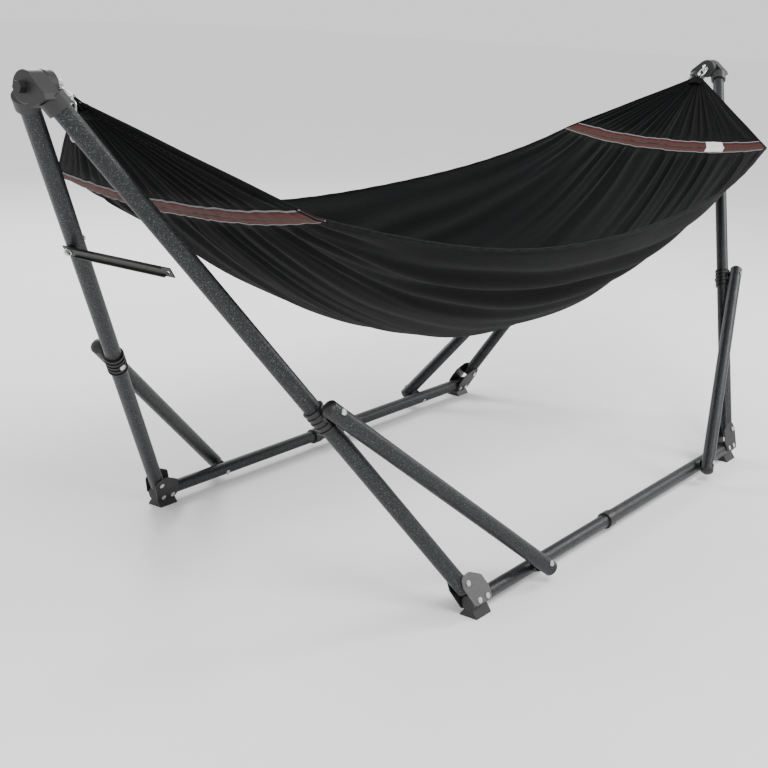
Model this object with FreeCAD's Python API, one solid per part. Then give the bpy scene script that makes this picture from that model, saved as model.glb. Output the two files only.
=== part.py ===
"""Cotton hammock hung in a folding tube stand, in millimetres.

X runs along the hammock, Y across it and Z up.  The origin is on the floor, under the middle of the stand.
Two side frames, front (-Y) and rear (+Y), lean against each other and turn about one ridge line through
the two apexes.  Each side frame has a telescopic ground rail, two legs and two braces.
"""
import FreeCAD, Part
import math
import os

Vec = FreeCAD.Vector

# ---- driving sizes of the stand -------------------------------------------------------------------
TUBE_R = 19.0              # legs, braces and the outer half of each rail
TUBE_WALL = 1.5
SLIDE_GAP = 0.05           # radial clearance of the inner rail tube in the outer one
RAIL_HEIGHT = 35.0         # rail axis above the floor
RAIL_HALF_SPACING = 508.0  # rail axis from the middle of the stand, across
RAIL_HALF_LENGTH = 730.0
RIDGE_HEIGHT = 1146.0      # ridge line above the floor
LEG_TOP_GAP = 8.0          # upper end of a leg below the ears, in the side frame's plane
LEG_FOOT_PAST = 2.0        # lower end of a leg past the rail's end
LEG_FOOT_GAP = 7.1         # lower rim of a leg above the rail, in the side frame's plane
LEG_ANGLE = 58.55          # leg above the rail, in the side frame's plane, degrees
LEG_PIVOT_UP = 14.0        # foot rivet from the leg's lower end

# ---- rails ----------------------------------------------------------------------------------------
OUTER_RAIL_START = -80.0
RAIL_INSERTION = 260.0     # inner tube inside the outer one
COLLAR_LENGTH = 32.0
COLLAR_GRIP = 20.0         # part of the collar that is on the outer tube
COLLAR_WALL = 3.5
COLLAR_EDGE = 2.5

# ---- braces and saddles ---------------------------------------------------------------------------
BRACE_GAP = 4.0            # brace from the saddle's ribs
BRACE_SPAN = 262.4         # lower brace rivet inward of the leg's foot
BRACE_TOP_UP = 548.0       # upper brace rivet from the leg's lower end
BRACE_END = 24.0           # brace tube past each rivet
SADDLE_LENGTH = 54.0
SADDLE_WALL = 5.0
SADDLE_RIBS = 5
RIB_WIDTH = 4.0
BOSS_R = 15.0
FIT_GAP = 0.15             # moulded pieces round a tube
PLUG_DEPTH = 30.0          # spigot of an end plug inside its tube
PLUG_HEAD = 3.0
PLUG_GAP = 0.2
JOIN = 0.5                 # overlap of two shapes that are fused
FAR = 60.0                 # half length of a tool that cuts right through

# ---- foot brackets, pads and rivets ---------------------------------------------------------------
PLATE_THICK = 3.0
PLATE_GAP = 0.2            # plate from the tube
PLATE_LOW = 10.0           # plate below the rail axis
PLATE_EDGE = 17.0          # plate past its rivets
PLATE_ROUND = 9.0
RIVET_R = 4.0
RIVET_HEAD_R = 7.0
RIVET_HEAD = 2.5
RAIL_RIVETS = (46.0, 14.0)  # rail rivets from the rail's end
PAD_SPAN = (60.0, 1.0)     # pad's two ends from the rail's end
PAD_HALF_ANGLE = 35.0      # pad round the rail, each side of straight down, degrees
PAD_GAP = 0.08             # running clearance of the pad round the rail

# ---- apex caps and ridge bolts --------------------------------------------------------------------
CAP_WALL = 6.5
FOLDED_GAP = 0.35          # cap to the middle plane when the frames lie together
CAP_SKIRT = 16.0           # skirt down the leg
CAP_TOP = 11.0             # skirt past the leg's end
CAP_SPIGOT = 60.0          # spigot inside the leg
EAR_R = 30.0
EAR_EDGE = 3.0             # rounding of an ear's rims
OUTER_EAR = 36.0           # thickness of the front cap's ear, on the outside
INNER_EAR = 20.0           # thickness of the rear cap's ear, on the inside
EAR_GAP = 1.0              # between the two ears of an apex
EAR_CLEAR = 1.0            # one cap's hollow round the other cap's ear
SHOULDER = 2.0             # bolt's shoulder inside the inner ear
SHOULDER_WALL = 3.0
BOLT_R = 5.0
BOLT_GAP = 0.08
NUT_ACROSS = 21.0
NUT_THICK = 13.0
NUT_BORE = 9.0             # blind thread of the cap nut
NUT_GAP = 0.5
EYE_R = 11.0               # eye ring to its wire's centre
EYE_WIRE_R = 3.5

# ---- spreader links -------------------------------------------------------------------------------
LINK_HEIGHT = 815.0        # link above the floor
LINK_WIDTH = 24.0
LINK_THICK = 2.5
LINK_LIP = 7.0
LINK_END_GAP = 22.0        # link's free end to the front leg
LINK_HOLE_R = 4.0
LINK_BOLT_R = 4.0
LINK_STAND_OFF = 1.0       # link from the rear leg
WASHER_GAP = 0.3
WASHER_THICK = 1.5
LINK_NUT = 8.0             # washer and nut together
LINK_NUT_R = 7.5

# ---- hooks ----------------------------------------------------------------------------------------
HANG_ANGLE = 35.0          # pull of the hammock below level, degrees
OVAL_WIRE_R = 2.5
OVAL_HALF_WIDTH = 10.0
OVAL_LENGTH = 34.0
OVAL_GAP = 1.4             # oval link round the eye's wire
RING_R = 8.0
RING_WIRE_R = 2.0
RING_PLAY = 0.8            # ring and tail loop past the wire that they hang on
GATHER_GAP = 5.0           # ring to the gathered cloth
TAIL_HALF_WIDTH = 9.0
TAIL_HEIGHT = 74.0         # spare loop that hangs from the left ring
TAIL_WIRE_R = 2.0

# ---- hammock cloth --------------------------------------------------------------------------------
CLOTH = 3.0
BED_HALF_LENGTH = 1112.0   # to the sewn ribbon
BAND_HALF_WIDTH = 368.0
BED_HALF_WIDTH = 456.0
RIM_MIDDLE = 775.0         # rim above the floor at the middle
RIM_END = 925.0            # rim above the floor at the ribbon
BED_BOTTOM = 470.0
BAND_SAG = 26.0
CLOTH_SEAM = 1.0           # bed to fan
GATHER_HALF_WIDTH = 12.0
GATHER_THICK = 12.0
SECTION_POWER = 2.4        # how square the cloth's cross-section is
LENGTH_POWER = 2.1         # how square its long section is
BED_STATIONS = 14
FAN_STATIONS = 5
SECTION_POINTS = 17

# ---- what follows from the sizes ------------------------------------------------------------------
LEG_FOOT_X = RAIL_HALF_LENGTH + LEG_FOOT_PAST
BRACE_FOOT_X = LEG_FOOT_X - BRACE_SPAN
BRACE_OFFSET = 2 * TUBE_R + SADDLE_WALL + BRACE_GAP  # brace axis outward of the side frame's plane
RAIL_RIVET_X = [RAIL_HALF_LENGTH - d for d in RAIL_RIVETS]
PAD_X = [RAIL_HALF_LENGTH - d for d in PAD_SPAN]
CAP_R = TUBE_R + CAP_WALL
RIDGE_OFFSET = CAP_R + FOLDED_GAP  # ridge line from the plane of a side frame
RISE = RIDGE_HEIGHT - RAIL_HEIGHT
RIDGE_REACH = math.hypot(RAIL_HALF_SPACING, RISE)
TILT = math.atan2(RAIL_HALF_SPACING, RISE) - math.asin(RIDGE_OFFSET / RIDGE_REACH)
LEAN = math.radians(LEG_ANGLE)
LEG_DX = math.cos(LEAN)
LEG_DV = math.sin(LEAN)
RIDGE_V = math.sqrt(RIDGE_REACH ** 2 - RIDGE_OFFSET ** 2)
LEG_FOOT_RISE = TUBE_R * (1 + LEG_DX) + LEG_FOOT_GAP  # lower end of a leg above the rail axis
LEG_LENGTH = (RIDGE_V - EAR_R - LEG_TOP_GAP - LEG_FOOT_RISE) / LEG_DV
HANG = math.radians(HANG_ANGLE)
INNER_R = TUBE_R - TUBE_WALL - SLIDE_GAP
SIDES = {"front": -1, "rear": 1}
ENDS = {"left": -1, "right": 1}


def place(side, x, v, n):
    """A point by its place along the rail, up the side frame's plane and outward of that plane."""
    y = side * (RAIL_HALF_SPACING - math.sin(TILT) * v + math.cos(TILT) * n)
    return Vec(x, y, RAIL_HEIGHT + math.cos(TILT) * v + math.sin(TILT) * n)


def outward(side):
    return Vec(0, side * math.cos(TILT), math.sin(TILT))


def up_plane(side):
    return Vec(0, -side * math.sin(TILT), math.cos(TILT))


def leg_point(side, end, up, n=0.0):
    """A point on the leg's axis, by its distance from the leg's lower end."""
    return place(side, end * (LEG_FOOT_X + LEG_DX * up), LEG_FOOT_RISE + LEG_DV * up, n)


def leg_axis(side, end):
    return Vec(end * LEG_DX, 0, 0) + up_plane(side) * LEG_DV


def rod(a, b, r):
    return Part.makeCylinder(r, (b - a).Length, a, b - a)


def tube(a, b, r, wall):
    return rod(a, b, r).cut(rod(a, b, r - wall))


def rail_radius(end):
    return INNER_R if end < 0 else TUBE_R


def plug(tip, inward, r, wall):
    """A round plug: a flat head on the tube's end and a spigot inside the tube."""
    d = Vec(inward)
    d.normalize()
    head = rod(tip - d * PLUG_HEAD, tip, r)
    return head.fuse(rod(tip - d * JOIN, tip + d * PLUG_DEPTH, r - wall - PLUG_GAP)).removeSplitter()


def dome_plug(tip, inward, r, wall):
    """A plug with a rounded head."""
    d = Vec(inward)
    d.normalize()
    ball = Part.makeSphere(r * 1.25, tip + d * (r * 0.75))
    head = ball.common(rod(tip - d * r, tip, r - 0.1))
    return head.fuse(rod(tip - d * JOIN, tip + d * PLUG_DEPTH, r - wall - PLUG_GAP)).removeSplitter()


def rivet(a, b):
    """A round rivet through a stack, with a head outside each face."""
    d = b - a
    d.normalize()
    shank = rod(a - d * JOIN, b + d * JOIN, RIVET_R)
    heads = rod(a - d * RIVET_HEAD, a, RIVET_HEAD_R).fuse(rod(b, b + d * RIVET_HEAD, RIVET_HEAD_R))
    return shank.fuse(heads).removeSplitter()


def rails(side, name, nodes):
    start = Vec(OUTER_RAIL_START, side * RAIL_HALF_SPACING, RAIL_HEIGHT)
    far = Vec(RAIL_HALF_LENGTH, start.y, start.z)
    near = Vec(-RAIL_HALF_LENGTH, start.y, start.z)
    inner_tip = start + Vec(RAIL_INSERTION, 0, 0)
    nodes[name + "_rail_outer"] = tube(start, far, TUBE_R, TUBE_WALL)
    nodes[name + "_rail_inner"] = tube(near, inner_tip, INNER_R, TUBE_WALL)
    lip = start - Vec(COLLAR_LENGTH - COLLAR_GRIP, 0, 0)
    ring = rod(lip, start + Vec(COLLAR_GRIP, 0, 0), TUBE_R + COLLAR_WALL)
    ring = ring.makeFillet(COLLAR_EDGE, [e for e in ring.Edges if len(e.Vertexes) == 1])
    ring = ring.cut(rod(lip - Vec(1, 0, 0), start, INNER_R + SLIDE_GAP))
    nodes[name + "_rail_collar"] = ring.cut(rod(start, start + Vec(COLLAR_GRIP + 1, 0, 0), TUBE_R))


def leg(side, end):
    low = leg_point(side, end, 0)
    return tube(low, leg_point(side, end, LEG_LENGTH), TUBE_R, TUBE_WALL)


def end_plugs(side, end):
    tip = Vec(end * RAIL_HALF_LENGTH, side * RAIL_HALF_SPACING, RAIL_HEIGHT)
    rail_plug = plug(tip, Vec(-end, 0, 0), rail_radius(end), TUBE_WALL)
    leg_plug = plug(leg_point(side, end, 0), leg_axis(side, end), TUBE_R, TUBE_WALL)
    return Part.makeCompound([rail_plug, leg_plug])


def brace_pins(side, end):
    low = place(side, end * BRACE_FOOT_X, 0, BRACE_OFFSET)
    return low, leg_point(side, end, BRACE_TOP_UP, BRACE_OFFSET)


def through(side, pin):
    """A rivet hole square to the side frame's plane, from the brace to beyond the leg or rail."""
    return rod(pin - outward(side) * FAR * 1.5, pin + outward(side) * FAR, RIVET_R)


def brace(side, end):
    low, top = brace_pins(side, end)
    d = top - low
    d.normalize()
    body = tube(low - d * BRACE_END, top + d * BRACE_END, TUBE_R, TUBE_WALL)
    for pin in (low, top):
        body = body.cut(through(side, pin))
    return body


def brace_plugs(side, end):
    low, top = brace_pins(side, end)
    d = top - low
    d.normalize()
    pair = [dome_plug(low - d * BRACE_END, d, TUBE_R, TUBE_WALL)]
    pair.append(dome_plug(top + d * BRACE_END, d * -1, TUBE_R, TUBE_WALL))
    for pin in (low, top):
        pair = [p.cut(through(side, pin)) for p in pair]
    return Part.makeCompound(pair)


def boss(side, centre, inner):
    """A round spacer between a tube in the frame's plane and the brace outside it."""
    n = outward(side)
    return rod(centre + n * inner, centre + n * (BRACE_OFFSET - TUBE_R - FIT_GAP), BOSS_R)


def saddle(side, end):
    """The moulded collar round the leg that carries the brace's upper rivet, with ribs round it."""
    mid = leg_point(side, end, BRACE_TOP_UP)
    axis = leg_axis(side, end)
    bore = rod(mid - axis * SADDLE_LENGTH, mid + axis * SADDLE_LENGTH, TUBE_R + FIT_GAP)
    half = SADDLE_LENGTH / 2
    core_r = TUBE_R + SADDLE_WALL * 0.5
    body = rod(mid - axis * half, mid + axis * half, core_r)
    pitch = (SADDLE_LENGTH - RIB_WIDTH) / (SADDLE_RIBS - 1)
    for i in range(SADDLE_RIBS):
        low = mid + axis * (-half + i * pitch)
        body = body.fuse(rod(low, low + axis * RIB_WIDTH, TUBE_R + SADDLE_WALL))
    body = body.fuse(boss(side, mid, TUBE_R * 0.8))
    return body.cut(bore).cut(through(side, mid)).removeSplitter()


def plate_outline(end):
    """The bracket plate in the side frame's plane: along the rail below, along the leg above."""
    pivot_x = LEG_FOOT_X + LEG_DX * LEG_PIVOT_UP
    pivot_v = LEG_FOOT_RISE + LEG_DV * LEG_PIVOT_UP
    low_x = RAIL_RIVET_X[0] - PLATE_EDGE
    m = PLATE_EDGE
    corners = [(low_x, -PLATE_LOW), (RAIL_RIVET_X[1] + m, -PLATE_LOW), (pivot_x + m, pivot_v - 0.4 * m),
               (pivot_x + 0.9 * m, pivot_v + 1.1 * m), (pivot_x - m, pivot_v + 1.3 * m),
               (low_x + m, pivot_v + 0.25 * m), (low_x, TUBE_R)]
    return [(end * x, v) for x, v in corners]


def plate(side, end, inner):
    """One bracket plate whose inner face is this far outward of the frame's plane."""
    points = [place(side, x, v, inner) for x, v in plate_outline(end)]
    face = Part.Face(Part.makePolygon(points + [points[0]]))
    slab = face.extrude(outward(side) * PLATE_THICK)
    corners = [e for e in slab.Edges if abs(e.Length - PLATE_THICK) < 0.01]
    slab = slab.makeFillet(PLATE_ROUND, corners)
    for x, v in rivet_places(end):
        slab = slab.cut(through(side, place(side, x, v, 0)))
    return slab


def rivet_places(end):
    pivot = (LEG_FOOT_X + LEG_DX * LEG_PIVOT_UP, LEG_FOOT_RISE + LEG_DV * LEG_PIVOT_UP)
    spots = [(x, 0.0) for x in RAIL_RIVET_X] + [pivot]
    return [(end * x, v) for x, v in spots]


def rivets(side, end):
    """The bracket's three rivets and the two brace rivets."""
    stack = TUBE_R + PLATE_GAP + PLATE_THICK
    made = [rivet(place(side, x, v, -stack), place(side, x, v, stack)) for x, v in rivet_places(end)]
    low, top = brace_pins(side, end)
    n = outward(side)
    for pin, r in ((low, rail_radius(end)), (top, TUBE_R + SADDLE_WALL)):
        made.append(rivet(pin - n * (BRACE_OFFSET + r), pin + n * TUBE_R))
    return Part.makeCompound(made)


def drill_tubes(side, end, shape):
    """Rivet holes through a leg or a rail."""
    for x, v in rivet_places(end):
        shape = shape.cut(through(side, place(side, x, v, 0)))
    for pin in brace_pins(side, end):
        shape = shape.cut(through(side, pin))
    return shape


def spacer(side, end):
    """The round spacer between the rail and the brace's lower end."""
    mid = place(side, end * BRACE_FOOT_X, 0, 0)
    r = rail_radius(end)
    body = boss(side, mid, r * 0.85)
    body = body.cut(rod(mid - Vec(FAR, 0, 0), mid + Vec(FAR, 0, 0), r + FIT_GAP))
    return body.cut(through(side, mid))


def pad(side, end):
    """The moulded foot: a wedge under the rail with a round cradle that the rail can turn in."""
    y = side * RAIL_HALF_SPACING
    half = RAIL_HEIGHT * math.tan(math.radians(PAD_HALF_ANGLE))
    points = [(0, 0), (half, -RAIL_HEIGHT), (-half, -RAIL_HEIGHT)]
    x = min(end * PAD_X[0], end * PAD_X[1])
    corners = [Vec(x, y + dy, RAIL_HEIGHT + dz) for dy, dz in points]
    face = Part.Face(Part.makePolygon(corners + [corners[0]]))
    wedge = face.extrude(Vec(PAD_X[1] - PAD_X[0], 0, 0))
    cradle = rail_radius(end) + PAD_GAP
    return wedge.cut(rod(Vec(x - FAR, y, RAIL_HEIGHT), Vec(x + 2 * FAR, y, RAIL_HEIGHT), cradle))


def apex_x(end):
    return leg_point(1, end, LEG_LENGTH).x


def ear_span(side, end):
    """The ear's low x and its thickness.  The front cap's ear is the outer one at both apexes."""
    thick = OUTER_EAR if side < 0 else INNER_EAR
    near = EAR_GAP / 2 if side < 0 else -EAR_GAP / 2 - INNER_EAR
    start = apex_x(end) + end * near
    return (start if end > 0 else start - thick), thick


def ear(side, end):
    """A disc on the ridge line and the web that joins it to the leg's top, on its own side of the ridge."""
    x, thick = ear_span(side, end)
    disc = Part.makeCylinder(EAR_R, thick, Vec(x, 0, RIDGE_HEIGHT), Vec(1, 0, 0))
    rims = [e for e in disc.Edges if len(e.Vertexes) == 1]
    disc = disc.makeFillet(EAR_EDGE, rims)
    foot_v = LEG_FOOT_RISE + LEG_DV * (LEG_LENGTH + CAP_TOP)
    shoulder = math.radians(30)
    inner_n = EAR_GAP / 2 - RIDGE_OFFSET
    outline = [(inner_n, foot_v - CAP_TOP), (CAP_R - EAR_EDGE, foot_v - CAP_TOP), (CAP_R - EAR_EDGE, foot_v),
               (EAR_R * math.cos(shoulder) - RIDGE_OFFSET, RIDGE_V + EAR_R * math.sin(shoulder)),
               (inner_n, RIDGE_V)]
    corners = [place(side, x, v, n) for n, v in outline]
    web = Part.Face(Part.makePolygon(corners + [corners[0]])).extrude(Vec(thick, 0, 0))
    return disc.fuse(web)


def ear_room(side, end):
    """The round space that the other cap's ear turns in."""
    x, thick = ear_span(-side, end)
    start = Vec(x - EAR_GAP / 2, 0, RIDGE_HEIGHT)
    return Part.makeCylinder(EAR_R + EAR_CLEAR, thick + EAR_GAP, start, Vec(1, 0, 0))


def cap(side, end):
    """A moulded cap: a skirt round the leg's top, a spigot inside it and an ear on the ridge line."""
    top = leg_point(side, end, LEG_LENGTH)
    axis = leg_axis(side, end)
    skirt = rod(top - axis * CAP_SKIRT, top + axis * CAP_TOP, CAP_R)
    body = skirt.fuse(ear(side, end)).cut(ear_room(side, end))
    body = body.cut(rod(top - axis * (CAP_SKIRT + 1), top, TUBE_R + FIT_GAP))
    spigot = rod(top - axis * CAP_SPIGOT, top + axis * 1.0, TUBE_R - TUBE_WALL - FIT_GAP)
    body = body.fuse(spigot).removeSplitter()
    x, thick = ear_span(side, end)
    return body.cut(rod(Vec(x - 1, 0, RIDGE_HEIGHT), Vec(x + thick + 1, 0, RIDGE_HEIGHT), BOLT_R + BOLT_GAP))


def hexagon(x, length):
    """A hexagonal prism on the ridge line."""
    r = NUT_ACROSS / math.sqrt(3)
    spots = [math.radians(60 * i) for i in range(6)]
    corners = [Vec(x, r * math.cos(a), RIDGE_HEIGHT + r * math.sin(a)) for a in spots]
    return Part.Face(Part.makePolygon(corners + [corners[0]])).extrude(Vec(length, 0, 0))


def eye_centre(end):
    inward = EAR_GAP / 2 + INNER_EAR + SHOULDER + EYE_R + EYE_WIRE_R
    return Vec(apex_x(end) - end * inward, 0, RIDGE_HEIGHT)


def nut_face(end):
    """The x of the nut's inner face."""
    return apex_x(end) + end * (EAR_GAP / 2 + OUTER_EAR + NUT_GAP)


def eye_bolt(end):
    """The ridge bolt: an eye inside and a plain shank through both ears into the nut."""
    centre = eye_centre(end)
    eye = Part.makeTorus(EYE_R, EYE_WIRE_R, Vec(0, 0, 0), Vec(0, 0, 1))
    eye.rotate(Vec(0, 0, 0), Vec(0, 0, 1), 30)
    eye.rotate(Vec(0, 0, 0), Vec(1, 0, 0), 90)
    eye.translate(centre)
    root = centre + Vec(end * (EYE_R + EYE_WIRE_R - SHOULDER), 0, 0)
    shank = rod(root, Vec(nut_face(end) + end * NUT_BORE, 0, RIDGE_HEIGHT), BOLT_R)
    collar = rod(root, root + Vec(end * (2 * SHOULDER - EAR_GAP / 2), 0, 0), BOLT_R + SHOULDER_WALL)
    return eye.fuse([shank, collar])


def ridge_nut(end):
    """A cap nut on the ridge bolt's outer end."""
    face = nut_face(end)
    block = hexagon(face if end > 0 else face - NUT_THICK, NUT_THICK)
    return block.cut(rod(Vec(face - end, 0, RIDGE_HEIGHT), Vec(face + end * NUT_BORE, 0, RIDGE_HEIGHT), BOLT_R))


def hang_frame(end):
    """The pull direction of the hammock and the point of the eye's wire that it pulls on."""
    pull = Vec(-end * math.cos(HANG), 0, -math.sin(HANG))
    return pull, eye_centre(end) + pull * EYE_R


def stadium(start, along, across, half_width, length, wire):
    """A closed wire loop: two half circles joined by straight sides, starting at the top of one."""
    a = start + along * half_width
    b = start + along * (length - half_width)
    w = across * half_width
    path = Part.Wire([Part.LineSegment(a + w, b + w).toShape(),
                      Part.Arc(b + w, start + along * length, b - w).toShape(),
                      Part.LineSegment(b - w, a - w).toShape(),
                      Part.Arc(a - w, start, a + w).toShape()])
    profile = Part.Wire([Part.makeCircle(wire, a + w, along)])
    return path.makePipeShell([profile], True, True)


def oval_link(end):
    pull, hook = hang_frame(end)
    start = hook - pull * (EYE_WIRE_R + OVAL_WIRE_R + OVAL_GAP)
    return stadium(start, pull, Vec(0, 1, 0), OVAL_HALF_WIDTH, OVAL_LENGTH, OVAL_WIRE_R)


def ring_centre(end):
    pull, hook = hang_frame(end)
    past = OVAL_LENGTH - (EYE_WIRE_R + OVAL_WIRE_R + OVAL_GAP)
    return hook + pull * (past - OVAL_WIRE_R - RING_WIRE_R - RING_PLAY + RING_R)


def ring(end):
    return Part.makeTorus(RING_R, RING_WIRE_R, ring_centre(end), Vec(0, 1, 0))


def tail_loop():
    """A spare wire loop that hangs from the left ring."""
    start = ring_centre(-1) - Vec(0, 0, RING_R - RING_WIRE_R - TAIL_WIRE_R - RING_PLAY)
    return stadium(start, Vec(0, 0, -1), Vec(0, 1, 0), TAIL_HALF_WIDTH, TAIL_HEIGHT, TAIL_WIRE_R)


def link_frame(end):
    """The link's pivot on the rear leg's axis, the way down the leg seen level, and the way outward."""
    up = (LINK_HEIGHT - leg_point(1, end, 0).z) / leg_axis(1, end).z
    axis = leg_axis(1, end)
    level = Vec(axis.x, 0, axis.z)
    level.normalize()
    return leg_point(1, end, up), level, Vec(end * level.z, 0, -abs(level.x))


def strip(start, stop, wide, tall):
    """A flat bar between two points: wide gives its width and tall its thickness."""
    corners = [start, stop, stop + wide, start + wide]
    return Part.Face(Part.makePolygon(corners + [corners[0]])).extrude(tall)


def link(end):
    """The spreader link on the rear leg's outer face: a web with a lip along each edge."""
    pivot, level, out = link_frame(end)
    reach = 2 * pivot.y - TUBE_R / math.cos(TILT) - LINK_END_GAP
    base = pivot + out * (TUBE_R + LINK_STAND_OFF)
    half = LINK_WIDTH / 2
    root = base + Vec(0, half, 0) - level * half
    body = strip(root, root - Vec(0, half + reach, 0), level * LINK_WIDTH, out * LINK_THICK)
    for place_on in (0, LINK_WIDTH - LINK_THICK):
        lip = root - Vec(0, LINK_WIDTH, 0) + level * place_on
        run = Vec(0, reach - LINK_WIDTH - half, 0)
        body = body.fuse(strip(lip, lip - run, level * LINK_THICK, out * LINK_LIP))
    tip = base - Vec(0, reach - LINK_WIDTH * 0.45, 0)
    body = body.cut(rod(tip - out * LINK_WIDTH, tip + out * LINK_WIDTH, LINK_HOLE_R))
    return body.cut(rod(base - out * LINK_WIDTH, base + out * LINK_WIDTH, LINK_BOLT_R + BOLT_GAP))


def link_bolt(end):
    """The bolt that the link turns on, with its washer and nut."""
    pivot, level, out = link_frame(end)
    seat = pivot + out * (TUBE_R + LINK_STAND_OFF + LINK_THICK + WASHER_GAP)
    bolt = rod(pivot - out * (TUBE_R + JOIN), seat + out * (LINK_NUT + 2 * JOIN), LINK_BOLT_R)
    head = rod(pivot - out * (TUBE_R + LINK_BOLT_R), pivot - out * TUBE_R, LINK_NUT_R)
    washer = rod(seat, seat + out * WASHER_THICK, LINK_NUT_R + 1.0)
    spots = [math.radians(60 * i) for i in range(6)]
    face = seat + out * WASHER_THICK
    hexa = [face + level * (LINK_NUT_R * math.cos(a)) + Vec(0, LINK_NUT_R * math.sin(a), 0) for a in spots]
    nut = Part.Face(Part.makePolygon(hexa + [hexa[0]])).extrude(out * (LINK_NUT - WASHER_THICK))
    return bolt.fuse([head, washer, nut]).removeSplitter()


def section(x, half_width, rim, bottom, thick):
    """A closed sagging cross-section of cloth at one x."""
    low = []
    for i in range(SECTION_POINTS):
        s = -1 + 2 * i / (SECTION_POINTS - 1)
        low.append((half_width * s, bottom + (rim - bottom) * abs(s) ** SECTION_POWER))
    high = []
    for i, (y, z) in enumerate(low):
        y0, z0 = low[max(i - 1, 0)]
        y1, z1 = low[min(i + 1, SECTION_POINTS - 1)]
        size = math.hypot(y1 - y0, z1 - z0)
        high.append((y - thick * (z1 - z0) / size, z + thick * (y1 - y0) / size))
    points = [Vec(x, y, z) for y, z in low + high[::-1]]
    return Part.makePolygon(points + [points[0]])


def bed():
    wires = []
    for i in range(BED_STATIONS + 1):
        u = -1 + 2 * i / BED_STATIONS
        rim = RIM_MIDDLE + (RIM_END - RIM_MIDDLE) * u * u
        bottom = BED_BOTTOM + (RIM_END - BAND_SAG - BED_BOTTOM) * abs(u) ** LENGTH_POWER
        half = BED_HALF_WIDTH + (BAND_HALF_WIDTH - BED_HALF_WIDTH) * u * u
        wires.append(section(u * BED_HALF_LENGTH, half, rim, bottom, CLOTH))
    return Part.makeLoft(wires, True, True)


def gather_point(end):
    pull = hang_frame(end)[0]
    return ring_centre(end) + pull * (RING_R + RING_WIRE_R + GATHER_GAP)


def fan(end):
    """The gathered triangle of cloth from the ribbon to the ring."""
    tip = gather_point(end)
    start = end * (BED_HALF_LENGTH + CLOTH_SEAM)
    wires = []
    for i in range(FAN_STATIONS + 1):
        w = i / FAN_STATIONS
        x = start + (tip.x - start) * w
        rim = RIM_END + (tip.z + GATHER_THICK / 2 - RIM_END) * w
        sag = BAND_SAG * (1 - w) + 1.0
        half = BAND_HALF_WIDTH + (GATHER_HALF_WIDTH - BAND_HALF_WIDTH) * w
        thick = CLOTH + (GATHER_THICK - CLOTH) * w
        wires.append(section(x, half, rim - thick * w, rim - sag - thick * w, thick))
    return Part.makeLoft(wires, True, True)


def build():
    nodes = {}
    for side_name, side in SIDES.items():
        rails(side, side_name, nodes)
        for end_name, end in ENDS.items():
            corner = side_name + "_" + end_name
            rail = side_name + ("_rail_inner" if end < 0 else "_rail_outer")
            nodes[rail] = drill_tubes(side, end, nodes[rail])
            nodes[corner + "_leg"] = drill_tubes(side, end, leg(side, end))
            nodes[corner + "_end_plugs"] = drill_tubes(side, end, end_plugs(side, end))
            nodes[corner + "_brace"] = brace(side, end)
            nodes[corner + "_brace_plugs"] = brace_plugs(side, end)
            nodes[corner + "_saddle"] = Part.makeCompound([saddle(side, end), spacer(side, end)])
            stand_off = TUBE_R + PLATE_GAP
            outer = plate(side, end, stand_off)
            inner = plate(side, end, -stand_off - PLATE_THICK)
            if corner == "front_left":
                nodes[corner + "_badge_plate"] = outer
                nodes[corner + "_plates"] = inner
            else:
                nodes[corner + "_plates"] = Part.makeCompound([outer, inner])
            nodes[corner + "_rivets"] = rivets(side, end)
            nodes[corner + "_foot"] = pad(side, end)
            nodes[corner + "_cap"] = cap(side, end)
    for end_name, end in ENDS.items():
        nodes[end_name + "_eye_bolt"] = eye_bolt(end)
        nodes[end_name + "_ridge_nut"] = ridge_nut(end)
        nodes[end_name + "_link"] = link(end)
        nodes[end_name + "_link_bolt"] = link_bolt(end)
        pivot, _, out = link_frame(end)
        leg_node = "rear_" + end_name + "_leg"
        nodes[leg_node] = nodes[leg_node].cut(rod(pivot - out * FAR, pivot + out * FAR, LINK_BOLT_R))
        nodes[end_name + "_oval_link"] = oval_link(end)
        nodes[end_name + "_ring"] = ring(end)
        nodes[end_name + "_fan"] = fan(end)
    nodes["left_tail_loop"] = tail_loop()
    nodes["hammock_bed"] = bed()
    return nodes


os.makedirs("parts", exist_ok=True)
NODES = build()
for node_name, shape in sorted(NODES.items()):
    shape.exportStep("parts/" + node_name + ".step")
    print(node_name, "solids", len(shape.Solids), "valid", shape.isValid(), "cm3", round(shape.Volume / 1000, 1))
print("nodes", len(NODES), "tilt", round(math.degrees(TILT), 3))
for end_name, end in ENDS.items():
    pivot, _, out = link_frame(end)
    print(end_name, "hook", hang_frame(end)[1], "link pivot", pivot, "axis", out)
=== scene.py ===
"""Looks of the hammock on its folding stand.  Metres, in the frame of the CAD model: X along the hammock,
Y across it with the front side frame at -Y, Z up from the floor."""
import math

import bpy
import numpy as np
from mathutils import Matrix, Vector


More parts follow.
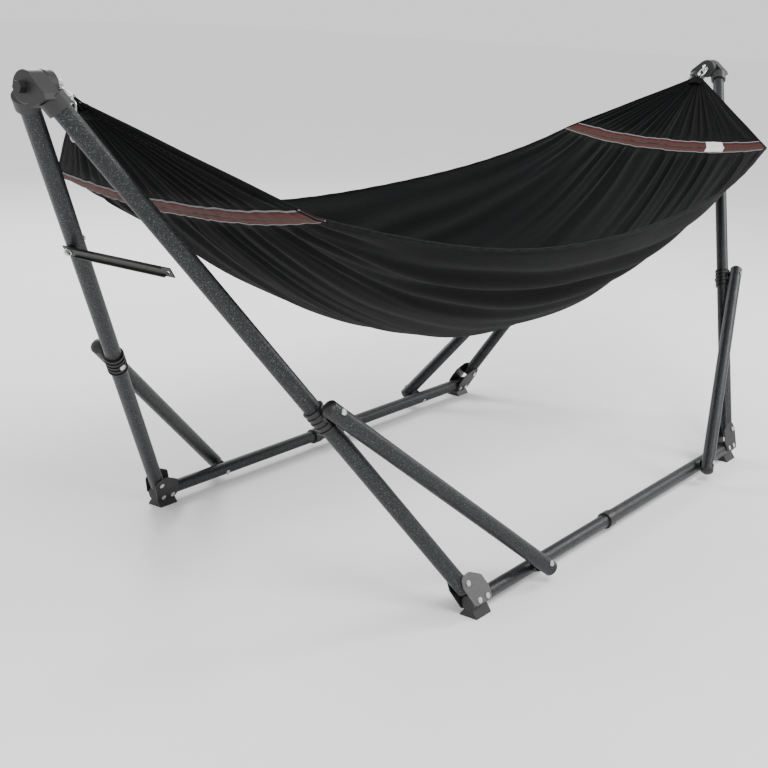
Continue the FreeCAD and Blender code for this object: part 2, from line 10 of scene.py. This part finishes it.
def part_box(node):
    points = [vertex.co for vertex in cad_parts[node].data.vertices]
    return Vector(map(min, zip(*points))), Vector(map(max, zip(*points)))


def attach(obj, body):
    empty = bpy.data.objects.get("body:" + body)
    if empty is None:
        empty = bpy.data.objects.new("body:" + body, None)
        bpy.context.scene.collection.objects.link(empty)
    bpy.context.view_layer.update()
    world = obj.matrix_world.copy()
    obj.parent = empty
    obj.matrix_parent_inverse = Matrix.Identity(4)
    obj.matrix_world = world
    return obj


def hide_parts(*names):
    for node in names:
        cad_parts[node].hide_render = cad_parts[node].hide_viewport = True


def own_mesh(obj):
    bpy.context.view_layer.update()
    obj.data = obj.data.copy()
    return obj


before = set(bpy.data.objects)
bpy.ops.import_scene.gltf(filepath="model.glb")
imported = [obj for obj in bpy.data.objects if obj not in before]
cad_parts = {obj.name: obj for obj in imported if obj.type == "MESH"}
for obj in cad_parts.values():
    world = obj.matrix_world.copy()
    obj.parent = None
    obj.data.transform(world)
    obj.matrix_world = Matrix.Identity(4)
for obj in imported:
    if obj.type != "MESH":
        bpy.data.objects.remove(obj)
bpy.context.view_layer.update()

# ---- places taken from the frame ------------------------------------------------------------------
BED_LOW, BED_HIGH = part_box("hammock_bed")
RING = {-1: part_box("left_ring"), 1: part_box("right_ring")}
FAN = {-1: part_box("left_fan"), 1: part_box("right_fan")}
BED_X = BED_HIGH.x
BED_BOTTOM = BED_LOW.z
RIM_END = FAN[1][0].z + 0.027     # rim height at the ribbons
RIM_SAG = 0.150                   # how much lower the rims hang midway
RIM_MIDDLE = RIM_END - RIM_SAG
HALF_MIDDLE = BED_HIGH.y
HALF_END = FAN[1][1].y
BAND_SAG = 0.026
SECTION_POWER = 2.4
LENGTH_POWER = 2.1
TIP_X = FAN[1][1].x
TIP_Z = FAN[1][1].z - 0.005
TIP_HALF = 0.012
PULL = math.radians(35.0)
CLOTH_THICK = 0.0016
RIBBON_HALF = 0.020

# ---- sizes of the pieces --------------------------------------------------------------------------
RIM_DIP = 0.010                   # slow rise and fall of the rims
HEM_RADIUS = 0.0042
HEM_AT = 0.998                    # share of the half width where the hem's middle lies
STITCH_ROWS = (0.026, 0.033)      # distance of the two rows from the edge
STITCH_PITCH = 0.0062
STITCH_LENGTH = 0.0042
STITCH_HALF_WIDTH = 0.0006
STITCH_SEAT = 0.0002              # foot of a stitch above the cloth's face
STITCH_CROWN = 0.0011
RIBBON_LIFT = 0.0023
LABEL_AT = -0.53                  # middle of the label, as a share of the half width
LABEL_HALF = 0.085
LABEL_LIFT = 0.0036
LABEL_THICK = 0.0006
LABEL_THREAD = 0.004              # step of the label's weave from point to point
CORD_RADIUS = 0.0017
CORD_SPREAD = 0.0034              # between neighbouring cords at the ring
CORD_BEND = 0.0042
CORD_TIP_SPREAD = 1.6
CORD_TIP_HALF = 0.0072
CORD_TIP_PAST = 0.016
WHIPPING_RADIUS = 0.0026
WHIPPING_TURNS = 5
FLOOR_HALF = 40.0


# ---- small helpers --------------------------------------------------------------------------------
def link(obj):
    bpy.context.scene.collection.objects.link(obj)
    return obj


def mesh_piece(name, verts, faces, material, smooth=True, uvs=None):
    mesh = bpy.data.meshes.new(name)
    mesh.from_pydata([tuple(v) for v in verts], [], [tuple(f) for f in faces])
    mesh.update()
    if smooth:
        mesh.shade_smooth()
    if uvs is not None:
        layer = mesh.uv_layers.new(name="cloth")
        loops = np.zeros(len(mesh.loops), dtype=np.int32)
        mesh.loops.foreach_get("vertex_index", loops)
        layer.data.foreach_set("uv", np.asarray(uvs, dtype=np.float32)[loops].ravel())
    mesh.materials.append(material)
    return link(bpy.data.objects.new(name, mesh))


def grid_faces(rows, columns, closed=False):
    faces = []
    last = columns if closed else columns - 1
    for i in range(rows - 1):
        for j in range(last):
            k = (j + 1) % columns
            faces.append((i * columns + j, i * columns + k, (i + 1) * columns + k, (i + 1) * columns + j))
    return faces


def sweep(path, radius, sides=8, flat=1.0):
    """Rings of points round a path; radius may be a number or one number for each point."""
    path = np.asarray(path, dtype=float)
    radius = np.broadcast_to(radius, len(path))
    verts = []
    side = None
    for i, point in enumerate(path):
        ahead = Vector(path[min(i + 1, len(path) - 1)] - path[max(i - 1, 0)]).normalized()
        if side is None:
            side = ahead.orthogonal().normalized()
        side = (side - ahead * side.dot(ahead)).normalized()
        up = ahead.cross(side)
        for k in range(sides):
            a = 2 * math.pi * k / sides
            offset = (side * math.cos(a) + up * (flat * math.sin(a))) * float(radius[i])
            verts.append(Vector(point) + offset)
    return verts, grid_faces(len(path), sides, closed=True)


def join_parts(parts):
    verts, faces = [], []
    for more, rings in parts:
        faces += [tuple(i + len(verts) for i in f) for f in rings]
        verts += list(more)
    return verts, faces


# ---- materials ------------------------------------------------------------------------------------
def new_material(name, colour, roughness, metallic=0.0):
    mat = bpy.data.materials.new(name)
    mat.use_nodes = True
    tree = mat.node_tree
    shader = tree.nodes["Principled BSDF"]
    shader.inputs["Base Color"].default_value = (*colour, 1)
    shader.inputs["Roughness"].default_value = roughness
    shader.inputs["Metallic"].default_value = metallic
    return mat, tree, shader


def node(tree, kind, **settings):
    made = tree.nodes.new(kind)
    for key, value in settings.items():
        if key in made.inputs:
            made.inputs[key].default_value = value
        else:
            setattr(made, key, value)
    return made


def object_coords(tree):
    return tree.nodes.new("ShaderNodeTexCoord").outputs["Object"]


def noise(tree, coords, scale, detail=3.0, roughness=0.55):
    made = node(tree, "ShaderNodeTexNoise", Scale=scale, Detail=detail, Roughness=roughness)
    tree.links.new(coords, made.inputs["Vector"])
    return made.outputs["Fac"]


def ramp(tree, source, stops, constant=False):
    made = tree.nodes.new("ShaderNodeValToRGB")
    bar = made.color_ramp
    if constant:
        bar.interpolation = "CONSTANT"
    while len(bar.elements) < len(stops):
        bar.elements.new(0.5)
    for element, (place, colour) in zip(bar.elements, stops):
        element.position = place
        element.color = (*colour, 1) if len(colour) == 3 else colour
    tree.links.new(source, made.inputs["Fac"])
    return made.outputs["Color"]


def grey(value):
    return (value, value, value)


def bump(tree, shader, height, strength, distance):
    made = node(tree, "ShaderNodeBump", Strength=strength, Distance=distance)
    tree.links.new(height, made.inputs["Height"])
    tree.links.new(made.outputs["Normal"], shader.inputs["Normal"])


def hammertone():
    """Dark hammered powder coat: flakes a few millimetres wide that catch the light."""
    mat, tree, shader = new_material("hammertone", (0.05, 0.055, 0.06), 0.42, 0.35)
    coords = object_coords(tree)
    cells = node(tree, "ShaderNodeTexVoronoi", Scale=430.0, Randomness=1.0)
    tree.links.new(coords, cells.inputs["Vector"])
    flakes = noise(tree, coords, 420.0, 2.0, 0.7)
    mix = node(tree, "ShaderNodeMath", operation="MULTIPLY")
    tree.links.new(cells.outputs["Distance"], mix.inputs[0])
    tree.links.new(flakes, mix.inputs[1])
    tone = ramp(tree, mix.outputs[0], [(0.14, (0.0055, 0.0062, 0.0066)), (0.32, (0.0135, 0.0155, 0.0165)),
                                       (0.52, (0.070, 0.082, 0.090))])
    tree.links.new(tone, shader.inputs["Base Color"])
    shine = ramp(tree, flakes, [(0.3, grey(0.55)), (0.7, grey(0.33))])
    tree.links.new(shine, shader.inputs["Roughness"])
    bump(tree, shader, cells.outputs["Distance"], 0.35, 0.0007)
    return mat


def satin_paint(name, colour, wear):
    """Painted sheet metal, a little worn and uneven."""
    mat, tree, shader = new_material(name, colour, 0.45, 0.3)
    coords = object_coords(tree)
    cloud = noise(tree, coords, 35.0, 4.0)
    light = tuple(c * (1 + wear) for c in colour)
    dark = tuple(c * (1 - wear * 0.5) for c in colour)
    tree.links.new(ramp(tree, cloud, [(0.35, dark), (0.7, light)]), shader.inputs["Base Color"])
    grain = noise(tree, coords, 900.0, 2.0)
    tree.links.new(ramp(tree, grain, [(0.3, grey(0.38)), (0.7, grey(0.55))]), shader.inputs["Roughness"])
    bump(tree, shader, grain, 0.2, 0.0003)
    return mat


def moulded_plastic(name, colour, roughness, grain_scale=1400.0):
    """Moulded plastic with a fine spark-eroded texture and slight flow marks."""
    mat, tree, shader = new_material(name, colour, roughness)
    coords = object_coords(tree)
    cloud = noise(tree, coords, 22.0, 3.0)
    dark = tuple(c * 0.8 for c in colour)
    light = tuple(c * 1.25 for c in colour)
    tree.links.new(ramp(tree, cloud, [(0.3, dark), (0.75, light)]), shader.inputs["Base Color"])
    grain = noise(tree, coords, grain_scale, 2.0)
    spread = ramp(tree, grain, [(0.3, grey(roughness - 0.08)), (0.7, grey(roughness + 0.1))])
    tree.links.new(spread, shader.inputs["Roughness"])
    bump(tree, shader, grain, 0.25, 0.0003)
    return mat


def zinc():
    """Bright plated steel with a faint bluish mottle and fine scratches."""
    mat, tree, shader = new_material("zinc", (0.62, 0.63, 0.64), 0.24, 1.0)
    coords = object_coords(tree)
    cloud = noise(tree, coords, 160.0, 3.0)
    tone = ramp(tree, cloud, [(0.3, (0.46, 0.47, 0.49)), (0.7, (0.78, 0.79, 0.79))])
    tree.links.new(tone, shader.inputs["Base Color"])
    scratches = noise(tree, coords, 2600.0, 2.0)
    spread = ramp(tree, scratches, [(0.35, grey(0.18)), (0.7, grey(0.38))])
    tree.links.new(spread, shader.inputs["Roughness"])
    bump(tree, shader, scratches, 0.08, 0.0002)
    return mat


def brushed_badge():
    """Satin grey metal with fine brushing along the rail."""
    mat, tree, shader = new_material("badge_metal", (0.13, 0.13, 0.13), 0.4, 0.85)
    coords = object_coords(tree)
    stretch = node(tree, "ShaderNodeMapping", Scale=(60.0, 2200.0, 2200.0))
    tree.links.new(coords, stretch.inputs["Vector"])
    streak = noise(tree, stretch.outputs["Vector"], 1.0, 3.0)
    tone = ramp(tree, streak, [(0.3, grey(0.09)), (0.7, grey(0.17))])
    tree.links.new(tone, shader.inputs["Base Color"])
    tree.links.new(ramp(tree, streak, [(0.3, grey(0.50)), (0.7, grey(0.34))]), shader.inputs["Roughness"])
    bump(tree, shader, streak, 0.12, 0.0002)
    return mat


def woven(name, dark, light, sheen):
    """Cotton woven in lengthwise ribs; the coordinates are metres on the flat cloth."""
    mat, tree, shader = new_material(name, dark, 0.88)
    shader.inputs["Sheen Weight"].default_value = sheen
    shader.inputs["Sheen Roughness"].default_value = 0.5
    shader.inputs["Specular IOR Level"].default_value = 0.10
    flat = node(tree, "ShaderNodeUVMap", uv_map="cloth").outputs["UV"]
    wander = node(tree, "ShaderNodeMapping", Scale=(5.0, 40.0, 1.0))
    tree.links.new(flat, wander.inputs["Vector"])
    streak = noise(tree, wander.outputs["Vector"], 4.0, 4.0, 0.6)
    ribs = node(tree, "ShaderNodeTexWave", Scale=62.0, Distortion=1.1, Detail=2.0)
    ribs.bands_direction = "Y"
    ribs.inputs["Detail Scale"].default_value = 1.6
    tree.links.new(flat, ribs.inputs["Vector"])
    picks = node(tree, "ShaderNodeTexWave", Scale=95.0, Distortion=2.5, Detail=2.0)
    picks.bands_direction = "X"
    tree.links.new(flat, picks.inputs["Vector"])
    weave = node(tree, "ShaderNodeMath", operation="MULTIPLY")
    tree.links.new(ribs.outputs["Fac"], weave.inputs[0])
    tree.links.new(picks.outputs["Fac"], weave.inputs[1])
    fluff = noise(tree, flat, 900.0, 3.0, 0.7)
    total = node(tree, "ShaderNodeMath", operation="MULTIPLY_ADD")
    tree.links.new(weave.outputs[0], total.inputs[0])
    tree.links.new(streak, total.inputs[1])
    tree.links.new(fluff, total.inputs[2])
    tone = ramp(tree, total.outputs[0], [(0.42, dark), (0.85, light)])
    tree.links.new(tone, shader.inputs["Base Color"])
    bump(tree, shader, total.outputs[0], 0.55, 0.0009)
    return mat


def ribbon_material():
    """Tape woven in red, maroon, brown and olive bands between grey-white edges."""
    mat, tree, shader = new_material("ribbon_stripes", (0.25, 0.1, 0.08), 0.8)
    shader.inputs["Sheen Weight"].default_value = 0.04
    shader.inputs["Specular IOR Level"].default_value = 0.25
    flat = node(tree, "ShaderNodeUVMap", uv_map="cloth").outputs["UV"]
    split = tree.nodes.new("ShaderNodeSeparateXYZ")
    tree.links.new(flat, split.inputs[0])
    edge, red, maroon = (0.30, 0.29, 0.28), (0.115, 0.014, 0.014), (0.040, 0.009, 0.011)
    brown, olive, rust = (0.036, 0.020, 0.014), (0.040, 0.034, 0.019), (0.085, 0.026, 0.015)
    bands = [(0.0, edge), (0.055, brown), (0.15, red), (0.28, brown), (0.36, maroon), (0.48, rust),
             (0.58, olive), (0.67, red), (0.79, maroon), (0.945, edge)]
    tone = ramp(tree, split.outputs["X"], bands, constant=True)
    picks = node(tree, "ShaderNodeTexWave", Scale=140.0, Distortion=1.5, Detail=2.0)
    picks.bands_direction = "Y"
    tree.links.new(flat, picks.inputs["Vector"])
    shade = node(tree, "ShaderNodeMix", data_type="RGBA", blend_type="MULTIPLY")
    shade.inputs[0].default_value = 0.45
    tree.links.new(tone, shade.inputs[6])
    tree.links.new(picks.outputs["Color"], shade.inputs[7])
    tree.links.new(shade.outputs[2], shader.inputs["Base Color"])
    bump(tree, shader, picks.outputs["Fac"], 0.5, 0.0006)
    return mat


# ---- camera, light and floor ----------------------------------------------------------------------
def set_camera():
    azimuth, elevation, roll = (math.radians(a) for a in (56.14, 17.11, 2.85))
    ahead = Vector((math.sin(azimuth) * math.cos(elevation), math.cos(azimuth) * math.cos(elevation),
                    -math.sin(elevation)))
    right = Vector((math.cos(azimuth), -math.sin(azimuth), 0))
    up = right.cross(ahead)
    tilted_right = right * math.cos(roll) + up * math.sin(roll)
    tilted_up = up * math.cos(roll) - right * math.sin(roll)
    data = bpy.data.cameras.new("camera")
    data.lens = 60.3
    data.sensor_width = 36.0
    data.shift_x = -0.095
    data.shift_y = 0.023
    data.clip_end = 60.0
    camera = link(bpy.data.objects.new("camera", data))
    turn = Matrix((tilted_right, tilted_up, -ahead)).transposed().to_4x4()
    camera.matrix_world = Matrix.Translation((-2.943, -1.9345, 1.318)) @ turn
    bpy.context.scene.camera = camera


def area_light(name, place, target, size, energy):
    data = bpy.data.lights.new(name, "AREA")
    data.shape = "DISK"
    data.size = size
    data.energy = energy
    lamp = link(bpy.data.objects.new(name, data))
    lamp.location = place
    lamp.rotation_euler = (Vector(target) - Vector(place)).to_track_quat("-Z", "Y").to_euler()


def set_light():
    world = bpy.data.worlds.new("studio")
    bpy.context.scene.world = world
    world.use_nodes = True
    world.node_tree.nodes["Background"].inputs["Color"].default_value = (1.0, 1.0, 1.0, 1)
    world.node_tree.nodes["Background"].inputs["Strength"].default_value = 1.12
    area_light("key", (-2.4, -3.2, 4.4), (0, 0, 0.6), 2.2, 190)
    area_light("fill", (3.6, -2.6, 3.2), (0, 0, 0.6), 1.6, 120)
    area_light("back", (1.8, 4.0, 3.6), (0, 0, 0.7), 2.0, 150)


def set_floor():
    mat, tree, shader = new_material("floor", (0.94, 0.94, 0.94), 0.8)
    cloud = noise(tree, object_coords(tree), 3.0, 2.0)
    tree.links.new(ramp(tree, cloud, [(0.3, grey(0.93)), (0.7, grey(0.96))]), shader.inputs["Base Color"])
    far = FLOOR_HALF
    corners = [(-far, -far, 0), (far, -far, 0), (far, far, 0), (-far, far, 0)]
    mesh_piece("floor", corners, [(0, 1, 2, 3)], mat, smooth=False)


# ---- the stand's materials ------------------------------------------------------------------------
def dress_frame():
    paint = hammertone()
    channel = satin_paint("link_paint", (0.016, 0.016, 0.0145), 0.35)
    sheet = satin_paint("plate_paint", (0.014, 0.014, 0.015), 0.3)
    badge = brushed_badge()
    cap = moulded_plastic("cap_plastic", (0.0105, 0.0105, 0.011), 0.46)
    black = moulded_plastic("black_plastic", (0.0045, 0.0045, 0.005), 0.42)
    metal = zinc()
    rules = [("_leg", paint), ("_brace", paint), ("_rail_inner", paint), ("_rail_outer", paint),
             ("_badge_plate", badge), ("_plates", sheet), ("_cap", cap), ("_ridge_nut", black),
             ("_end_plugs", black), ("_brace_plugs", black), ("_foot", black), ("_saddle", black),
             ("_collar", black),
             ("_oval_link", metal), ("_link_bolt", metal), ("_link", channel), ("_rivets", metal),
             ("_eye_bolt", metal), ("_ring", metal), ("_tail_loop", metal)]
    for name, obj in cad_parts.items():
        for ending, mat in rules:
            if name.endswith(ending):
                for slot in obj.material_slots:
                    slot.material = mat
                break


# ---- the shape of the cloth -----------------------------------------------------------------------
def smooth_random(count, seed):
    """A smooth random curve of one variable, as a sum of a few sine waves."""
    rng = np.random.default_rng(seed)
    waves = [(rng.uniform(0.6, 1.0) / (k + 1), rng.uniform(0, 2 * np.pi), k + 1) for k in range(count)]

    def value(s):
        return sum(a * np.sin(f * s * 2.1 + p) for a, p, f in waves)
    return value


WANDER = smooth_random(4, 3)
WANDER_2 = smooth_random(4, 11)
PLEAT_MIX = smooth_random(7, 5)


def station(x):
    """Half width, rim height, bottom height and share of the fan (0 at the ribbon, 1 at the ring)."""
    ax = np.abs(x)
    u = np.clip(ax / BED_X, 0, 1)
    w = np.clip((ax - BED_X) / (TIP_X - BED_X), 0, 1)
    half = HALF_MIDDLE + (HALF_END - HALF_MIDDLE) * u ** 2
    rim = RIM_MIDDLE + (RIM_END - RIM_MIDDLE) * u ** 2
    bottom = BED_BOTTOM + (RIM_END - BAND_SAG - BED_BOTTOM) * u ** LENGTH_POWER
    half = half + (TIP_HALF - HALF_END) * w
    rim = rim + (TIP_Z - RIM_END) * w
    bottom = np.where(w > 0, rim - BAND_SAG * (1 - w) - 0.002, bottom)
    return half, rim, bottom, w


def base_point(x, t):
    half, rim, bottom, _ = station(x)
    y = half * t
    z = bottom + (rim - bottom) * np.abs(t) ** SECTION_POWER
    return np.stack([x + 0 * t, y, z], axis=-1)


def fold_height(x, t):
    """How far the cloth stands off its mean surface: pleats at the ribbons, long folds along the rims."""
    half, _, _, w = station(x)
    from_ribbon = np.abs(np.abs(x) - BED_X)
    on_ribbon = 1 - 0.93 * np.exp(-(from_ribbon / 0.042) ** 4)
    side = np.sign(x)
    near = np.exp(-(from_ribbon / 0.34) ** 1.6) * (w <= 0)
    phase = 2.2 * PLEAT_MIX(t * 2.3 + side * 1.7) + 0.35 * WANDER(x * 3 + t)
    pleats = np.sin(t * 52 + phase) + 0.55 * np.sin(t * 91 + 1.7 * phase + 0.6 * side)
    height = 0.0050 * near * on_ribbon * pleats
    radiating = np.sin(t * 40 + 1.3 * phase) + 0.6 * np.sin(t * 73 - phase)
    height += (w > 0) * on_ribbon * (0.0042 * (1 - w) ** 0.5 + 0.0006) * radiating
    middle = np.clip(1 - (np.abs(x) / BED_X) ** 2.2, 0, 1)
    rim_side = np.where(t < 0, 1.0, 0.8)
    ridge = np.abs(t) + 0.022 * WANDER(x * 1.4 + np.sign(t))
    band = np.exp(-((np.abs(t) - 0.80) / 0.17) ** 2)
    height += 0.0125 * rim_side * middle * band * np.sin(2 * np.pi * ridge / 0.118 + 0.8 * np.sign(t))
    slow = np.sin(t * 17 + 1.6 * WANDER(x * 1.1) + 0.7) + 0.6 * np.sin(t * 29 + 2.0 * WANDER_2(x * 1.3))
    height += 0.0048 * (0.35 + 0.65 * middle) * (w <= 0) * on_ribbon * slow
    return height * np.clip((1.0 - np.abs(t)) / 0.03, 0.15, 1)


def cloth_point(x, t, lift=0.0):
    """Points of the cloth; lift moves them off its upper face, or off the lower face if negative."""
    x, t = np.broadcast_arrays(np.asarray(x, float), np.asarray(t, float))
    step = 1e-3
    here = base_point(x, t)
    along = base_point(x + step, t) - base_point(x - step, t)
    over = base_point(x, np.clip(t + step, -1, 1)) - base_point(x, np.clip(t - step, -1, 1))
    normal = np.cross(along, over)
    normal /= np.linalg.norm(normal, axis=-1, keepdims=True) + 1e-12
    height = fold_height(x, t) + lift
    place = here + normal * height[..., None]
    dip = RIM_DIP * np.sin(3.1 * x + 0.8) * np.clip(1 - (np.abs(x) / BED_X) ** 2, 0, 1)
    place[..., 2] += dip * np.abs(t)
    return place


def cloth_stations():
    fan = np.linspace(BED_X, TIP_X, 46)[1:]
    bed = np.linspace(-BED_X, BED_X, 261)
    return np.concatenate([-fan[::-1], bed, fan])


def make_cloth(material):
    xs = cloth_stations()
    ts = np.linspace(-1, 1, 301)
    grid_x, grid_t = np.meshgrid(xs, ts, indexing="ij")
    points = cloth_point(grid_x, grid_t).reshape(-1, 3)
    flat = np.stack([grid_x * 1.1, grid_t * 0.68], axis=-1).reshape(-1, 2)
    faces = grid_faces(len(xs), len(ts))
    cloth = mesh_piece("hammock_cloth", points, faces, material, uvs=flat)
    thick = cloth.modifiers.new("thickness", "SOLIDIFY")
    thick.thickness = CLOTH_THICK
    thick.offset = 0.0
    return cloth


def make_hems(material):
    """Rolled hems along both long edges, from ring to ring."""
    xs = cloth_stations()
    parts = []
    for side in (-1, 1):
        path = cloth_point(xs, np.full_like(xs, HEM_AT * side))
        w = np.clip((np.abs(xs) - BED_X) / (TIP_X - BED_X), 0, 1)
        radius = HEM_RADIUS * (1 - 0.4 * w) * (1 + 0.10 * np.sin(xs * 61 + side))
        parts.append(sweep(path, radius, 10, flat=0.8))
    verts, faces = join_parts(parts)
    flat = [(v[0] * 1.1, v[1] * 1.3) for v in verts]
    return mesh_piece("rolled_hems", verts, faces, material, uvs=flat)


def dash(start, end, lift, width):
    """One stitch: a small crowned bar."""
    start, end, lift = Vector(start), Vector(end), Vector(lift)
    ahead = (end - start).normalized()
    side = ahead.cross(lift.normalized()) * width
    middle = (start + end) / 2 + lift
    verts = [start, (start + middle) / 2 + side + lift * 0.2, (end + middle) / 2 + side + lift * 0.2, end,
             (end + middle) / 2 - side + lift * 0.2, (start + middle) / 2 - side + lift * 0.2, middle]
    faces = [(6, 0, 1), (6, 1, 2), (6, 2, 3), (6, 3, 4), (6, 4, 5), (6, 5, 0)]
    return verts, faces


def make_stitches(material):
    """Double rows of stitching inside the hems of both fans, seen on the lower and the upper face."""
    parts = []
    for end in (-1, 1):
        for side in (-1, 1):
            for inset in STITCH_ROWS:
                for face in (-1, 1):
                    ax = np.arange(BED_X + 0.030, TIP_X - 0.020, STITCH_PITCH)
                    half = station(ax)[0]
                    t = side * np.clip(1 - inset / half, 0.0, 1)
                    seat = face * (CLOTH_THICK / 2 + STITCH_SEAT)
                    crown = face * (CLOTH_THICK / 2 + STITCH_CROWN)
                    tail = cloth_point(end * ax, t, seat)
                    head = cloth_point(end * (ax + STITCH_LENGTH), t, seat)
                    above = cloth_point(end * ax, t, crown) - tail
                    for a, b, c, h in zip(tail, head, above, half):
                        if inset < 0.8 * h:
                            parts.append(dash(a, b, c, STITCH_HALF_WIDTH))
    verts, faces = join_parts(parts)
    return mesh_piece("hem_stitches", verts, faces, material)


def make_ribbon(end, material):
    """The striped tape sewn over the cloth on both faces, wrapped round the two edges."""
    across, along = 15, 141
    verts, uvs = [], []
    ts = np.linspace(-1.012, 1.012, along)
    wave = 0.0009 * np.sin(ts * 17 + end) + 0.0005 * np.sin(ts * 41 + 2)
    for face in (1, -1):
        for j in range(across):
            f = j / (across - 1)
            x = end * (BED_X + (f - 0.5) * 2 * RIBBON_HALF) + wave
            scallop = 0.0012 * np.sin(ts * 47 + 3 * end) * abs(2 * f - 1) ** 2
            inner = np.clip(ts, -1, 1)
            lift = face * (RIBBON_LIFT + 0.6 * np.abs(scallop))
            row = cloth_point(x, inner, lift)
            beyond = (np.abs(ts) - 1).clip(0)
            row[:, 1] += np.sign(ts) * beyond * HALF_END
            row[np.abs(ts) > 1.005, 2] -= face * 0.0012
            verts.append(row)
            uvs.append(np.stack([np.full(along, f * 0.999), ts * HALF_END], axis=-1))
    rows = verts[:across] + verts[across:][::-1]
    flat = uvs[:across] + uvs[across:][::-1]
    points = np.concatenate(rows)
    faces = []
    count = len(rows)
    for i in range(count):
        k = (i + 1) % count
        for j in range(along - 1):
            faces.append((i * along + j, i * along + j + 1, k * along + j + 1, k * along + j))
    for j in (0, along - 1):
        for i in range(across - 1):
            a, b = i * along + j, (i + 1) * along + j
            c, d = (count - 2 - i) * along + j, (count - 1 - i) * along + j
            faces.append((a, b, c, d) if j else (d, c, b, a))
    name = "ribbon_left" if end < 0 else "ribbon_right"
    return mesh_piece(name, points, faces, material, uvs=np.concatenate(flat))


def make_label(material):
    """A small blank woven label on the right ribbon's upper face."""
    rows, columns = 9, 13
    ts = np.linspace(LABEL_AT - LABEL_HALF, LABEL_AT + LABEL_HALF, columns)
    points = []
    for i in range(rows):
        f = i / (rows - 1)
        x = np.full(columns, BED_X + (f - 0.5) * 1.96 * RIBBON_HALF)
        curl = 0.0010 * np.sin(np.linspace(0, np.pi, columns))
        points.append(cloth_point(x, ts, LABEL_LIFT + curl))
    flat = [(i * LABEL_THREAD, j * LABEL_THREAD) for i in range(rows) for j in range(columns)]
    label = mesh_piece("blank_label", np.concatenate(points), grid_faces(rows, columns), material, uvs=flat)
    thick = label.modifiers.new("thickness", "SOLIDIFY")
    thick.thickness = LABEL_THICK
    return label


def make_gather(end, material):
    """Cord loops from the cloth's end round the ring, and the band that grips the pleats."""
    pull = Vector((-end * math.cos(PULL), 0, -math.sin(PULL)))
    upward = Vector((end * pull.z, 0, -end * pull.x))
    low, high = RING[end]
    hold = (low + high) / 2 + pull * 0.008
    tip = Vector((end * TIP_X, 0, TIP_Z - 0.004))
    parts = []
    for offset in (-CORD_SPREAD, 0.0, CORD_SPREAD):
        path = []
        for i in range(15):
            a = math.pi * i / 14
            across = Vector((0, CORD_BEND * math.cos(a), 0))
            path.append(hold + upward * offset + across - pull * (CORD_BEND * math.sin(a)))
        foot = tip + upward * offset * CORD_TIP_SPREAD
        first = [foot + Vector((0, CORD_TIP_HALF, 0)) + pull * CORD_TIP_PAST]
        last = [foot + Vector((0, -CORD_TIP_HALF, 0)) + pull * CORD_TIP_PAST]
        parts.append(sweep(first + path + last, CORD_RADIUS, 8))
    for k in range(WHIPPING_TURNS):
        centre = tip + pull * (0.012 + 0.0044 * k)
        ring = []
        for i in range(33):
            a = 2 * math.pi * i / 32
            across = Vector((0, (0.0165 + 0.0022 * k) * math.cos(a), 0))
            ring.append(centre + across + upward * (0.0085 * math.sin(a)))
        parts.append(sweep(ring, WHIPPING_RADIUS, 8))
    verts, faces = join_parts(parts)
    flat = [(v[0] + v[2], v[1]) for v in verts]
    name = "gather_left" if end < 0 else "gather_right"
    return mesh_piece(name, verts, faces, material, uvs=flat)


def make_hammock():
    cotton = woven("black_cotton", (0.0007, 0.0008, 0.0010), (0.0075, 0.0080, 0.0088), 0.025)
    thread = moulded_plastic("stitch_thread", (0.004, 0.004, 0.005), 0.7)
    white = woven("label_cloth", (0.62, 0.62, 0.60), (0.80, 0.80, 0.78), 0.1)
    stripes = ribbon_material()
    cloth = make_cloth(cotton)
    hems = make_hems(cotton)
    stitches = make_stitches(thread)
    ribbons = [make_ribbon(end, stripes) for end in (-1, 1)]
    label = make_label(white)
    gathers = [make_gather(end, cotton) for end in (-1, 1)]
    for piece in [cloth, hems, stitches, label, *ribbons, *gathers]:
        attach(piece, "hammock")
        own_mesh(piece)
    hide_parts("hammock_bed", "left_fan", "right_fan")


set_camera()
set_light()
set_floor()
dress_frame()
make_hammock()
